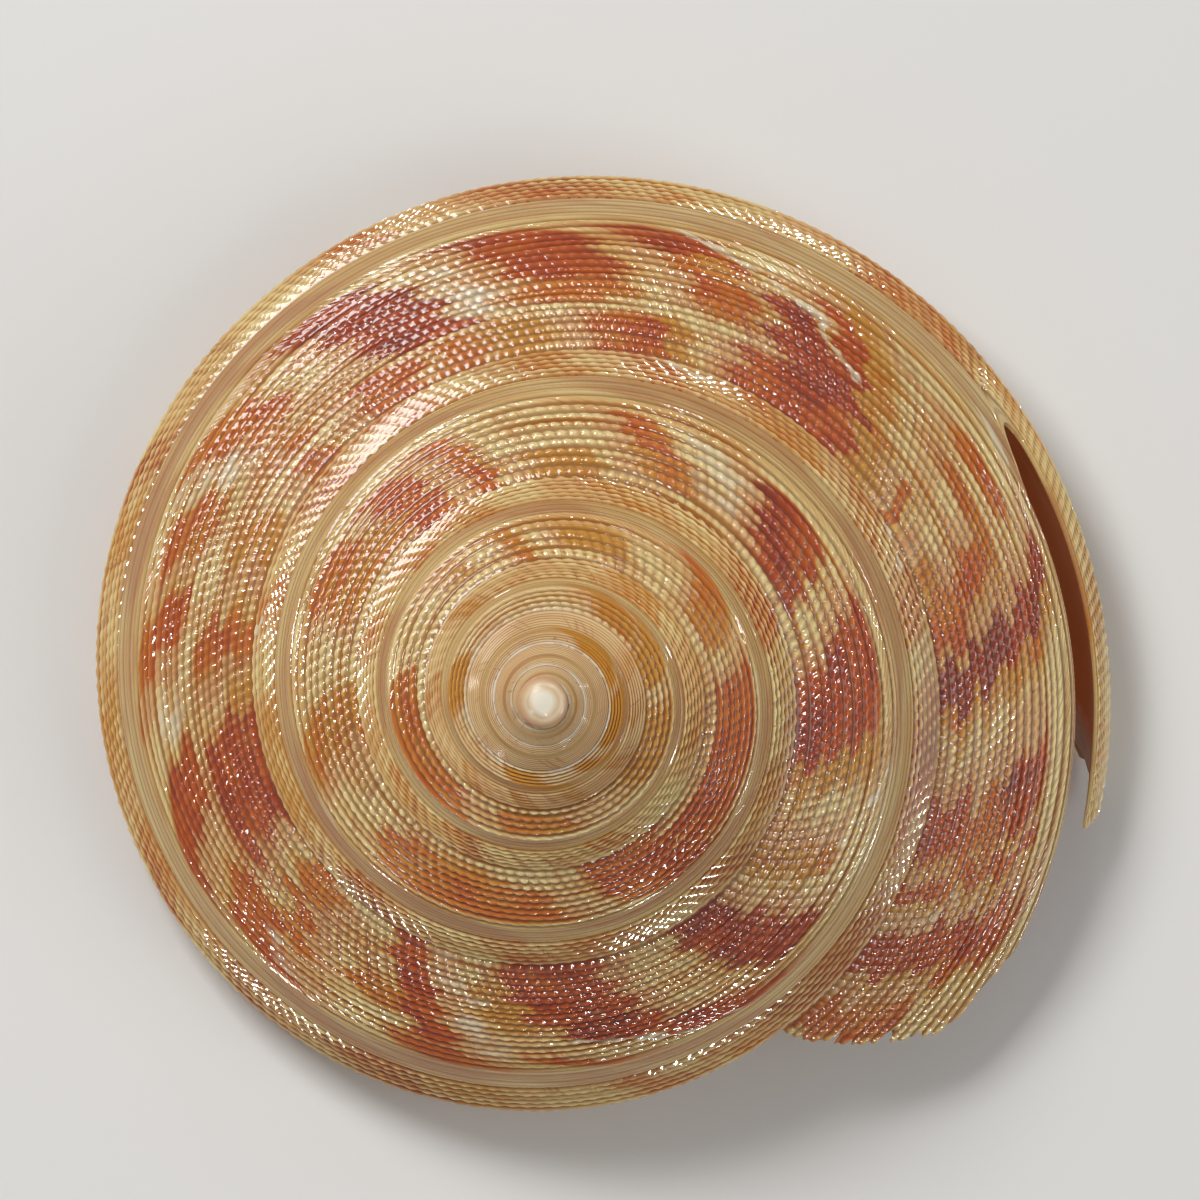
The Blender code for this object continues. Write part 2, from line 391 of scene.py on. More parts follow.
def cord_ridge(cord, growth):
    """Height of the cords, 0 in the grooves and 1 on the crests."""
    second = smooth_step(*SECOND_CORDS, growth)
    third = smooth_step(*THIRD_CORDS, growth)
    below_band = sum_of("GREATER_THAN", cord, BAND_START)
    coarse = mix(wave(cord / 4.0), wave(cord / 2.0), second)
    return mix(coarse, wave(cord), sum_of("MAXIMUM", third, below_band))


def surface_height(tree, cord, bead, growth):
    """Height of the relief from 0 to 1, and the ridge that it stands on."""
    uneven = noise_along(tree, cord * 0.8, bead * 0.45, 3.0, RELIEF_DETAIL)
    strength = noise_along(tree, cord * 0.15, bead * 0.10, 9.0, RELIEF_DETAIL)
    meander = noise_along(tree, cord * 0.4, bead * 0.035, 17.0, RELIEF_DETAIL)
    swing = (meander - 0.5) * MEANDER * smooth_step(BAND_START, BAND_START - 3.0, cord)
    ridge = cord_ridge(cord + swing, growth)
    beads = wave(bead + (uneven - 0.5) * 0.55)
    on_base = smooth_step(EDGE_CORD, EDGE_CORD + 4.0, cord)
    share = mix(BEAD_SHARE, OUTER_BEAD_SHARE, smooth_step(*OUTER_CORDS, cord))
    bead_share = mix(share, BASE_BEADS, on_base) * mix(0.4, 1.6, strength) * mix(0.6, 1.4, uneven)
    bead_share = bead_share * smooth_step(FIRST_BEAD_TURN, FULL_BEAD_TURN, growth)
    full = power(ridge, CREST_ROUNDING) * (1.0 - bead_share * (1.0 - beads)) * mix(0.8, 1.1, uneven)
    beaded = mix(full, 0.35 + full * BASE_RELIEF, on_base)
    part = clamp(band_part(cord))
    threads = wave(part * 3.0) * 0.20 + wave(bead * 2.0) * 0.05
    in_band = smooth_step(0.0, 0.12, part) * (1.0 - smooth_step(0.88, 1.0, part))
    return mix(beaded, BAND_LEVEL + threads - wave(part) * 0.16, in_band), ridge


# %% [markdown]
# ## The wall as a node tree
# The whole wall follows one rule, so one Geometry Nodes tree makes every stretch of it. A grid
# gives rows and columns. The first columns run over the outside, from the suture to the axis, and
# the last ones come back along the inside. The tree works out each point's growth line, cord and
# place, and keeps these as attributes, because the colours need them later. Its inputs say which
# beads and cords a stretch has.

# %% Inputs of the tree and places in its grid
WHORL_INPUTS = (
    ("First Bead", "NodeSocketFloat", 0.0), ("Rows", "NodeSocketInt", 8),
    ("First Cord", "NodeSocketFloat", 0.0), ("Last Cord", "NodeSocketFloat", 27.0),
    ("Fine Columns", "NodeSocketInt", 8), ("Base Columns", "NodeSocketInt", 0),
    ("Inner Columns", "NodeSocketInt", 8), ("Slit", "NodeSocketFloat", 0.0),
    ("Lip", "NodeSocketFloat", 0.0), ("Outside", "NodeSocketMaterial", None),
    ("Inside", "NodeSocketMaterial", None),
)


def grid_places(tree, given):
    """Bead, cord and side of every point, from its number in the grid."""
    index = Wire(add_node(tree, "GeometryNodeInputIndex").outputs[0])
    outer = given["Fine Columns"] + given["Base Columns"] + 1.0
    columns = outer + given["Inner Columns"] + 1.0
    row = sum_of("FLOOR", (index + 0.5) / columns)
    column = index - row * columns
    bead = given["First Bead"] + row / float(ROWS_PER_BEAD)
    fine_end = given["First Cord"] + given["Fine Columns"] / float(COLUMNS_PER_CORD)
    on_fine = given["First Cord"] + column / float(COLUMNS_PER_CORD)
    base_step = (given["Last Cord"] - fine_end) / sum_of("MAXIMUM", given["Base Columns"], 1.0)
    beyond = sum_of("MAXIMUM", column - given["Fine Columns"], 0.0)
    outer_cord = sum_of("MINIMUM", on_fine, fine_end) + beyond * base_step
    inner_part = (column - outer) / given["Inner Columns"]
    inner_cord = mix(given["Last Cord"], given["First Cord"], inner_part)
    inside = sum_of("GREATER_THAN", column, outer - 0.5)
    return bead, mix(outer_cord, inner_cord, inside), inside, columns


print("a stretch has", len(WHORL_INPUTS), "inputs")

# %% [markdown]
# At the lip the wall grows thin, and every cord ends in a small tooth, because the thinner grooves
# between them break first. Some chips are missing. Both only change how far a row of the grid
# reaches, so the lip needs no cutting. The points of the inside are moved in at right angles to the
# rule's own section, so that the wall keeps its thickness where the surface is steep.

# %% Lip, edges and thickness
LIP_TEETH = 0.0017          # turns that the deepest grooves cut into the lip
LIP_CHIPS = 0.012           # turns that the deepest chips of the lip go back
LIP_BEADS = 6.0             # beads over which the teeth come up
LIP_INSIDE_STEP = 0.0012    # turns that the lining ends behind the deepest tooth
NORMAL_STEP = 0.004         # places across, to both sides, between which the slope is measured
GROWTH_RELIEF = 0.00006     # how deep the growth lines themselves go
EDGE_TAPER_BEADS = 5.0      # the lip grows thin over this many beads
EDGE_TAPER_CORDS = 4.0      # and the slit's sides over this many cords
EDGE_RIM = 0.15             # share of those cords that stays thinnest
EDGE_THINNEST = 0.30


def lip_edge(tree, cord, bead, growth, ridge, inside, given):
    """Growth of the points near the lip, with a tooth for every cord and a few chips."""
    near = clamp((bead - (BEADS - LIP_BEADS)) / LIP_BEADS) * given["Lip"]
    chips = noise_along(tree, cord * 0.55, 7.0, 0.0, RELIEF_DETAIL)
    chipped = smooth_step(0.5, 0.8, chips) * LIP_CHIPS
    depth = (1.0 - ridge) * smooth_step(0.30, 0.62, chips) + 0.2 * (1.0 - ridge)
    tooth = mix(depth, 1.0, inside) * LIP_TEETH + inside * LIP_INSIDE_STEP
    return growth - near * (tooth + chipped)


def surface_point(tree, growth, across, depth):
    """Position of a point of the rule, moved into the wall by a depth."""
    turn = growth - lip_sweep(across, growth)
    ahead = section(turn, across + NORMAL_STEP)
    behind = section(turn, across - NORMAL_STEP)
    along_radius = ahead[0] - behind[0]
    along_height = ahead[1] - behind[1]
    length = sum_of("SQRT", along_radius * along_radius + along_height * along_height)
    radius = (ahead[0] + behind[0]) * 0.5 + along_height / length * depth
    height = (ahead[1] + behind[1]) * 0.5 - along_radius / length * depth
    angle = (turn * 360.0 + LIP_ANGLE) * (math.pi / 180.0)
    return vector_of(tree, radius * cos(angle), radius * sin(angle) * -1.0, height)


def edge_thinning(cord, bead, given):
    """Share of the wall's thickness that is left near the lip and beside the slit."""
    to_lip = clamp((BEADS - bead) / EDGE_TAPER_BEADS)
    to_slit = clamp(sum_of("ABSOLUTE", cord - MIDDLE_CORD) / EDGE_TAPER_CORDS - EDGE_RIM)
    at_lip = mix(1.0, mix(EDGE_THINNEST, 1.0, to_lip), given["Lip"])
    return at_lip * mix(1.0, mix(EDGE_THINNEST, 1.0, to_slit), given["Slit"])


def wall_depth(tree, cord, bead, growth, inside, given):
    """How far a point lies under the rule's surface, and the relief's height there."""
    height, ridge = surface_height(tree, cord, bead, growth)
    rests = noise_along(tree, bead * 0.6, 0.0, 0.0, RELIEF_DETAIL)
    strength = smooth_step(FIRST_RELIEF_TURN, FULL_RELIEF_TURN, growth)
    outer = INSET + (1.0 - height) * RELIEF * strength + rests * GROWTH_RELIEF
    near_lip = clamp(1.0 + growth / LIP_REACH)
    size = suture_radius(growth + 1.0) / suture_radius(1.0)
    thickness = size * (1.0 - LIP_THINNING * near_lip) * WALL
    inner = mix(outer, thickness + INSET, edge_thinning(cord, bead, given))
    return mix(outer, inner, inside), height, ridge


# %% [markdown]
# Now the tree can be put together: the grid, the numbers kept on its points, their places, and the
# two materials, one for each side of the wall.

# %% Node tree for a stretch of wall
def build_whorl_tree():
    tree = bpy.data.node_groups.new("stretch_of_wall", "GeometryNodeTree")
    for name, kind, value in WHORL_INPUTS:
        socket = tree.interface.new_socket(name, in_out="INPUT", socket_type=kind)
        if value is not None:
            socket.default_value = value
    tree.interface.new_socket("Geometry", in_out="OUTPUT", socket_type="NodeSocketGeometry")
    entry = tree.nodes.new("NodeGroupInput")
    given = {socket.name: Wire(socket) for socket in entry.outputs if socket.name}
    bead, cord, inside, columns = grid_places(tree, given)
    growth = sum_of("LOGARITHM", bead / BEADS, math.e) / TURN_GROWTH
    across = place_of_cord(cord, growth, given["Slit"])
    depth, height, ridge = wall_depth(tree, cord, bead, growth, inside, given)
    edge_growth = lip_edge(tree, cord, bead, growth, ridge, inside, given)
    position = surface_point(tree, edge_growth, across, depth)
    grid = add_node(tree, "GeometryNodeMeshGrid", {"Vertices X": given["Rows"], "Vertices Y": columns})
    geometry = grid.outputs["Mesh"]
    kept = {"growth": growth, "across": across, "cord": cord, "bead": bead, "relief": height,
            "inside": inside}
    for name, value in kept.items():
        values = {"Geometry": geometry, "Name": name, "Value": value}
        geometry = add_node(tree, "GeometryNodeStoreNamedAttribute", values).outputs["Geometry"]
    moved = add_node(tree, "GeometryNodeSetPosition", {"Geometry": geometry, "Position": position})
    values = {"Geometry": moved.outputs[0], "Material": given["Outside"]}
    coated = add_node(tree, "GeometryNodeSetMaterial", values)
    side = add_node(tree, "GeometryNodeInputNamedAttribute", {"Name": "inside"})
    is_inside = sum_of("GREATER_THAN", Wire(side.outputs[0]), 0.6)
    values = {"Geometry": coated.outputs[0], "Selection": is_inside, "Material": given["Inside"]}
    lined = add_node(tree, "GeometryNodeSetMaterial", values)
    real = add_node(tree, "GeometryNodeRealizeInstances", {"Geometry": lined.outputs[0]})
    plug(real.outputs[0], tree.nodes.new("NodeGroupOutput").inputs[0])
    return tree


whorl_tree = build_whorl_tree()
print("the tree has", len(whorl_tree.nodes), "nodes")

# %% [markdown]
# ## Finish of the outside
# The colours of the pattern lie in the shell itself: a cream ground, with flames from ochre to brick
# red that grew with the lip and so follow the growth lines. The mesh carries soft fields that say where
# flames are. The material sharpens them with noise and with one random value for each bead, so that a
# flame's edge steps from bead to bead as on the real shell. On top of these colours the grooves are
# painted darker towards their bottoms as painted shade, and the crests in flames lighter, partly as a
# painted highlight.

# %% Helpers for materials
def attribute(tree, name):
    return Wire(add_node(tree, "ShaderNodeAttribute", attribute_name=name).outputs["Fac"])


def blend(tree, start, end, share):
    """Mix of two colours, each a plain colour or a socket."""
    node = add_node(tree, "ShaderNodeMix", {"Factor": share}, data_type="RGBA")
    for socket, colour in zip((node.inputs[6], node.inputs[7]), (start, end)):
        plug((*colour, 1.0) if isinstance(colour, tuple) else colour, socket)
    return node.outputs[2]


def new_material(name):
    material = bpy.data.materials.new(name)
    material.use_nodes = True
    return material, material.node_tree


def finish_surface(tree, values, bump=()):
    """Fills the shader's own sockets. A bump is its height, its strength and its depth in metres."""
    surface = tree.nodes["Principled BSDF"]
    if bump:
        node = add_node(tree, "ShaderNodeBump", zip(("Height", "Strength", "Distance"), bump))
        plug(node.outputs["Normal"], surface.inputs["Normal"])
    for name, value in values.items():
        plug(value, surface.inputs[name])


def ramp(tree, value, stops):
    node = add_node(tree, "ShaderNodeValToRGB", {"Fac": value})
    stripes = node.color_ramp.elements
    while len(stripes) < len(stops):
        stripes.new(0.5)
    for stripe, (place, colour) in zip(stripes, stops):
        stripe.position = place
        stripe.color = (*colour, 1.0)
    return node.outputs["Color"]


def object_noise(tree, scale, detail=1.0):
    """Noise in the object's own metres, for clouds and grain that don't follow the cords."""
    coordinates = tree.nodes.new("ShaderNodeTexCoord")
    return noise_at(tree, coordinates.outputs["Object"], scale, detail)

# %% [markdown]
# The ground is cream, with rose clouds and with tan or orange in the grooves. On the first turns it
# is browner, and a pale rim follows the suture. All of these are soft or follow the cords, so noise
# and the numbers kept on the points are enough for them, and nothing has to be painted.

# %% Colours and ground of the outside
CREAM = (0.83, 0.66, 0.30)
ROSE_CREAM = (0.74, 0.43, 0.17)
GROOVE_TAN = (0.56, 0.28, 0.060)
GROOVE_OCHRE = (0.54, 0.19, 0.015)
CORD_TAN = (0.62, 0.33, 0.09)
BAND_TAN = (0.68, 0.45, 0.16)
BAND_LINE = (0.36, 0.16, 0.03)
BAND_STAIN = (0.42, 0.13, 0.04)
SPIRE_TAN = (0.70, 0.45, 0.24)
FRINGE_OCHRE = (0.60, 0.28, 0.03)
TAIL_ROSE = (0.60, 0.24, 0.085)
# The next colour is a pink blush on the crests in flames, partly the beads' colour and partly a painted
# highlight.
CREST_BLUSH_AND_HIGHLIGHT = (0.76, 0.32, 0.07)
WHITE = (0.86, 0.78, 0.64)
SCAR_CREAM = (0.82, 0.72, 0.50)
# The next colour and share are painted shade for the bottoms of the grooves, not a pigment.
GROOVE_PAINTED_SHADE = (0.10, 0.03, 0.008)
GROOVE_SHADE = 0.50         # how much colour the bottom of a groove keeps
CLOUD_SCALE = 150.0         # noise cells in a metre
GRAIN_SCALE = 900.0
TINTED_CORDS = (8.0, 14.0)  # cords over which some turn tan
EARLY_TURNS = (-4.2, -2.9)
EARLY_TINT_DROP = 0.40      # flames are paler on the first turns
OLDER_TURNS = (-0.9, -1.7)
OLDER_TINT_DROP = 0.16      # and more orange on the older turns
TAIL_EDGE = (0.25, 0.85)    # values of a field between which its colour comes up
FRINGE_EDGE = (0.34, 0.90)
FLAME_EDGE = (0.30, 0.88)
SCAR_EDGE = (0.30, 0.80)
PAINTED = ("flame_field", "fringe_field", "tail_field", "flame_tint", "scar_field", "band_field")
FLAME_TINTS = (
    (0.00, (0.57, 0.25, 0.030)), (0.30, (0.57, 0.14, 0.008)), (0.55, (0.50, 0.074, 0.006)),
    (0.78, (0.38, 0.034, 0.006)), (1.00, (0.25, 0.018, 0.012)),
)


def early_turns(growth):
    """1 on the smooth first turns and 0 on the beaded ones."""
    return 1.0 - smooth_step(*EARLY_TURNS, growth)


def ground_colour(tree, relief, cord, bead, growth, across):
    """Cream with rose clouds along the growth lines, and orange to tan grooves."""
    clouds = (object_noise(tree, CLOUD_SCALE) + noise_along(tree, cord * 0.10, bead * 0.30)) * 0.5
    ground = blend(tree, CREAM, ROSE_CREAM, smooth_step(0.46, 0.62, clouds) * 0.85)
    row = sum_of("FLOOR", cord + 0.5) * 3.7
    rows = smooth_step(0.42, 0.66, noise_along(tree, row, bead * 0.05))
    groove = blend(tree, GROOVE_TAN, GROOVE_OCHRE, rows)
    low = 1.0 - smooth_step(0.20, 0.85, relief)
    ground = blend(tree, ground, groove, low * mix(0.38, 1.0, rows))
    tinted = smooth_step(0.50, 0.60, noise_along(tree, row + 0.4, bead * 0.06, 2.0))
    ground = blend(tree, ground, CORD_TAN, tinted * smooth_step(*TINTED_CORDS, cord) * 0.65)
    early = early_turns(growth)
    ground = blend(tree, ground, SPIRE_TAN, early * 0.62)
    rim = 1.0 - smooth_step(0.04, 0.17, across)
    pieces_of_rim = smooth_step(0.30, 0.60, noise_along(tree, bead * 0.25, 3.0))
    return blend(tree, ground, WHITE, early * rim * pieces_of_rim * 0.85)


print("cream, as red, green and blue:", CREAM)

# %% [markdown]
# The slit band is the slit that the shell closed behind itself. It is tan, with darker lines along
# it and rusty stains. Where growth rested for a while, a thin dark line crosses the whole wall.
# Both are worked out in the material, because they are finer than the mesh.

# %% Slit band and growth lines
def growth_rests(tree, cord, bead):
    """Thin dark lines along the growth lines, where the lip stopped for a while."""
    pace = noise_along(tree, cord * 0.02, bead * 0.42, 8.0)
    line = 1.0 - smooth_step(0.004, 0.020, sum_of("ABSOLUTE", pace - 0.5))
    return line * smooth_step(0.40, 0.65, noise_along(tree, cord * 0.15, bead * 0.1, 6.0))


def band_colour(tree, ground, cord, bead, band):
    """The slit band: tan with darker spiral lines and rusty stains."""
    part = band_part(cord)
    wobble = noise_along(tree, part * 3.0, bead * 0.04)
    lines = smooth_step(0.45, 0.95, wave(part * 6.0 + wobble)) * mix(0.3, 1.0, wobble)
    tan = blend(tree, ground, BAND_TAN, 0.45)
    lined = blend(tree, tan, BAND_LINE, lines * 0.85)
    stains = smooth_step(0.46, 0.62, noise_along(tree, part * 0.8, bead * 0.10, 5.0))
    stained = blend(tree, lined, BAND_STAIN, stains * 0.50)
    rims = smooth_step(0.84, 0.97, sum_of("ABSOLUTE", part * 2.0 - 1.0)) * mix(0.3, 1.0, wobble)
    return blend(tree, ground, blend(tree, stained, CREAM, rims * 0.7), band)

# %% [markdown]
# The layers come one over the other: ground, band, rose tail, ochre fringe, flame, scars and the
# painted shade at the bottoms of the grooves. In flames the bead crests get a pink blush that is
# partly a painted highlight. Beads are glossier than grooves, and a thin clear coat gives them their
# bright points. Growth lines finer than a bead are a bump, because the mesh is too coarse for them.

# %% Material of the outside
def make_outside():
    material, tree = new_material("shell_outside")
    relief, cord, bead, growth, across = (
        attribute(tree, name) for name in ("relief", "cord", "bead", "growth", "across"))
    flame, fringe, tail, tint, scar, band = (attribute(tree, name) for name in PAINTED)
    cell = vector_of(tree, sum_of("FLOOR", cord), sum_of("FLOOR", bead), 0.0)
    chance = Wire(add_node(tree, "ShaderNodeTexWhiteNoise", {"Vector": cell}).outputs["Value"])
    grain = object_noise(tree, GRAIN_SCALE, 2.0)
    row = sum_of("FLOOR", cord) * 5.3
    streak = noise_along(tree, row, bead * 0.30)
    unrest = (streak - 0.5) * 0.45 + (0.62 - relief) * 0.55 + (grain - 0.5) * 0.25
    ground = ground_colour(tree, relief, cord, bead, growth, across)
    ground = band_colour(tree, ground, cord, bead, band)
    ground = blend(tree, ground, TAIL_ROSE, smooth_step(*TAIL_EDGE, tail + unrest) * 0.55)
    fringed = blend(tree, ground, FRINGE_OCHRE, smooth_step(*FRINGE_EDGE, fringe + unrest) * 0.62)
    heart = noise_along(tree, cord * 0.25, bead * 0.22, 4.0)
    older = smooth_step(*OLDER_TURNS, growth)
    tint = tint - early_turns(growth) * EARLY_TINT_DROP - older * OLDER_TINT_DROP
    mottling = (streak - 0.5) * 0.5 + (heart - 0.5) * 0.9 + (chance - 0.5) * 0.12
    hot = ramp(tree, tint + mottling, FLAME_TINTS)
    crest = smooth_step(0.55, 1.0, relief)
    # Crests in flames are lighter and pinker: partly the beads' own colour, partly a painted highlight.
    hot = blend(tree, hot, CREST_BLUSH_AND_HIGHLIGHT, crest * mix(0.12, 0.62, chance))
    burning = blend(tree, fringed, hot, smooth_step(*FLAME_EDGE, flame + unrest) * 0.94)
    rests = growth_rests(tree, cord, bead) * (1.0 - band)
    burning = blend(tree, burning, BAND_STAIN, rests * 0.55)
    healed = smooth_step(*SCAR_EDGE, scar + (streak - 0.5) * 1.1)
    colour = blend(tree, burning, SCAR_CREAM, healed * 0.72)
    # Painted shade: the colour is darkened towards the bottoms of the grooves, by the relief's height.
    shade = mix(GROOVE_SHADE, 1.0, smooth_step(0.05, 0.60, relief))
    colour = blend(tree, GROOVE_PAINTED_SHADE, colour, shade)
    striae = noise_along(tree, cord * 0.22, bead * 2.4, 2.0)
    threads = wave(cord * 2.0) * (0.15 + band * 0.35)
    finish_surface(tree, {
        "Base Color": colour, "Roughness": mix(0.40, 0.22, crest) + (grain - 0.5) * 0.10,
        "Coat Weight": mix(1.0, 0.2, early_turns(growth)), "Coat Roughness": 0.07,
        "Specular IOR Level": 0.1,
    }, bump=(grain * 0.3 + striae * 0.9 + threads, 0.55, 0.00007))
    return material


outside = make_outside()
print("outside material:", len(outside.node_tree.nodes), "nodes")

# %% [markdown]
# ## Finish of the inside
# The inside of a slit shell is mother-of-pearl. Near the lip it is pale and shimmers, and deep in
# the hollow, where light comes only through the wall and the lip shades it, it looks warm brown. Here
# that brown is painted shade: the base colour turns brown deep in the hollow and under the slit. A
# wall that lets light through would show the glow by itself, but it takes long to render, so the deep
# part also gives off a weak brown light of its own. A noise stretched along the cords moves the
# pearl's tint from rose to green, as thin layers of pearl do.

# %% Material of the inside
# Painted shade: the brown base colour deep in the hollow and under the slit, where the lip shades the
# inside.
HOLLOW_PAINTED_SHADE = (0.22, 0.07, 0.018)
THROUGH_WALL = (0.085, 0.018, 0.0045)   # light that comes through the wall from outside
GLOW = 0.9                              # strength of that light
HOLLOW_TURNS = (-0.16, -0.05)           # turns over which pearl gives place to brown
LIP_TURNS = (-0.02, -0.005)             # and the same under the slit
PEARL = (0.74, 0.66, 0.56)
PEARL_PALE = (0.80, 0.74, 0.64)
PEARL_ROSE = (0.78, 0.52, 0.47)
PEARL_GREEN = (0.56, 0.66, 0.55)


def make_inside():
    material, tree = new_material("shell_inside")
    cord, bead, growth = (attribute(tree, name) for name in ("cord", "bead", "growth"))
    shimmer = noise_along(tree, cord * 0.45, bead * 0.06, 0.0, 3.0)
    pearl = blend(tree, PEARL, PEARL_ROSE, smooth_step(0.50, 0.68, shimmer) * 0.7)
    pearl = blend(tree, pearl, PEARL_GREEN, smooth_step(0.50, 0.34, shimmer) * 0.5)
    across = attribute(tree, "across") + (shimmer - 0.5) * 0.1
    under_slit = smooth_step(0.55, 0.70, across) * (1.0 - smooth_step(1.25, 1.5, across))
    deep = 1.0 - smooth_step(*HOLLOW_TURNS, growth)
    depth = sum_of("MAXIMUM", deep, under_slit * (1.0 - smooth_step(*LIP_TURNS, growth)))
    ripple = noise_along(tree, cord * 0.3, bead * 0.7, 0.0, 2.0)
    # The base colour turns to painted brown shade deep in the hollow and under the slit. The emission
    # is the light that comes through the wall.
    finish_surface(tree, {
        "Base Color": blend(tree, pearl, HOLLOW_PAINTED_SHADE, depth * 0.9),
        "Emission Color": blend(tree, (0.0, 0.0, 0.0), THROUGH_WALL, depth), "Emission Strength": GLOW,
        "Roughness": 0.24, "Metallic": 0.15, "Coat Weight": 0.5, "Coat Roughness": 0.10,
    }, bump=(ripple, 0.15, 0.0001))
    return material


inside = make_inside()
print("inside material:", len(inside.node_tree.nodes), "nodes")

# %% [markdown]
# ## Stretches of wall
# One mesh for the whole shell would be too heavy, so the wall is made in stretches that end in the
# gaps between beads, where no seam shows. The tree runs on an empty mesh, and its result is turned
# into a plain mesh. The grid is still an open sheet then. The next helper closes it: a row of
# faces along the suture, and a strip of triangles at each end, between the many points of the
# outside and the few of the inside.

# %% Run the tree and close its sheet
SHARP_ANGLE = 62.0          # degrees between faces from which an edge looks sharp


def run_tree(name, tree, values):
    """The plain mesh that a node tree makes, with the modifier gone."""
    holder = bpy.data.objects.new(name, bpy.data.meshes.new(name))
    bpy.context.scene.collection.objects.link(holder)
    modifier = holder.modifiers.new(name, "NODES")
    modifier.node_group = tree
    for socket in tree.interface.items_tree:
        if socket.item_type == "SOCKET" and socket.in_out == "INPUT":
            modifier[socket.identifier] = values[socket.name]
    depsgraph = bpy.context.evaluated_depsgraph_get()
    mesh = bpy.data.meshes.new_from_object(holder.evaluated_get(depsgraph))
    mesh.name = name
    holder.modifiers.clear()
    holder.data = mesh
    return holder


def zip_rows(bm, outer, inner, cords):
    """Triangles between two rows of points with unlike spacing, both counted from the suture."""
    i = j = 0
    while i < len(outer) - 1 or j < len(inner) - 1:
        outer_is_next = i < len(outer) - 1 and (
            j == len(inner) - 1 or cords[outer[i + 1]] <= cords[inner[j + 1]])
        if outer_is_next:
            corners = (outer[i], outer[i + 1], inner[j])
            i += 1
        else:
            corners = (outer[i], inner[j + 1], inner[j])
            j += 1
        bm.faces.new([bm.verts[corner] for corner in corners])


def read_attribute(mesh, name):
    values = np.zeros(len(mesh.vertices), np.float32)
    mesh.attributes[name].data.foreach_get("value", values)
    return values


def keep_two_slots(mesh):
    """Leaves the outside as material 0, which new faces get, and the inside as material 1."""
    slots = np.zeros(len(mesh.polygons), np.int32)
    mesh.polygons.foreach_get("material_index", slots)
    lining = slots == mesh.materials.find(inside.name)
    mesh.materials.clear()
    mesh.materials.append(outside)
    mesh.materials.append(inside)
    mesh.polygons.foreach_set("material_index", lining.astype(np.int32))


def close_stretch(mesh, rows, outer_columns, columns):
    keep_two_slots(mesh)
    cords = read_attribute(mesh, "cord")
    bm = bmesh.new()
    bm.from_mesh(mesh)
    bm.verts.ensure_lookup_table()
    for row in range(rows - 1):
        first, after = row * columns, (row + 1) * columns
        corners = (first, after, after + columns - 1, first + columns - 1)
        bm.faces.new([bm.verts[corner] for corner in corners])
    for row in (0, rows - 1):
        outer = range(row * columns, row * columns + outer_columns)
        inner = range((row + 1) * columns - 1, row * columns + outer_columns - 1, -1)
        zip_rows(bm, outer, inner, cords)
    bmesh.ops.recalc_face_normals(bm, faces=bm.faces)
    bm.to_mesh(mesh)
    bm.free()
    mesh.shade_smooth()
    mesh.set_sharp_from_angle(angle=math.radians(SHARP_ANGLE))

# %% [markdown]
# The two oldest stretches need only a short piece of base under their edge, because the next turn
# covers the rest. The two that hold the slit leave it open between them, one above and one below.

# %% Make the stretches
def make_stretch(name, beads, cords, fine_end=None, inner_columns=44, base_columns=0,
                 slit=0.0, lip=0.0):
    """A closed stretch of wall between two beads and two cords."""
    fine_end = cords[1] if fine_end is None else fine_end
    rows = (beads[1] - beads[0]) * ROWS_PER_BEAD + 1
    fine_columns = round((fine_end - cords[0]) * COLUMNS_PER_CORD)
    stretch = run_tree(name, whorl_tree, {
        "First Bead": float(beads[0]), "Rows": rows, "First Cord": cords[0], "Last Cord": cords[1],
        "Fine Columns": fine_columns, "Base Columns": base_columns, "Inner Columns": inner_columns,
        "Slit": slit, "Lip": lip, "Outside": outside, "Inside": inside})
    outer_columns = fine_columns + base_columns + 1
    close_stretch(stretch.data, rows, outer_columns, outer_columns + inner_columns + 1)
    print(name, "has", sum(len(face.vertices) - 2 for face in stretch.data.polygons), "triangles")
    return stretch


SUTURE_CORD = -0.5
UPPER_SPIRE = (20, 134)
LOWER_SPIRE = (134, 229)
OLDER_TURN = (229, 359)
LAST_BEAD = round(BEADS)
stretches = [
    make_stretch("upper_spire", UPPER_SPIRE, (SUTURE_CORD, 29.5), inner_columns=20),
    make_stretch("lower_spire", LOWER_SPIRE, (SUTURE_CORD, 29.5), inner_columns=20),
    make_stretch("older_turn", OLDER_TURN, (SUTURE_CORD, AXIS_CORD), fine_end=28.0, base_columns=26),
    make_stretch("last_turn_start", (359, 440), (SUTURE_CORD, AXIS_CORD)),
    make_stretch("last_turn_middle", (440, SLIT_BEAD), (SUTURE_CORD, AXIS_CORD)),
    make_stretch("lip_above_slit", (SLIT_BEAD, LAST_BEAD), (SUTURE_CORD, 18.75), inner_columns=24,
                 slit=1.0, lip=1.0),
    make_stretch("lip_below_slit", (SLIT_BEAD, LAST_BEAD), (20.25, AXIS_CORD), inner_columns=40,
                 slit=1.0, lip=1.0),
]
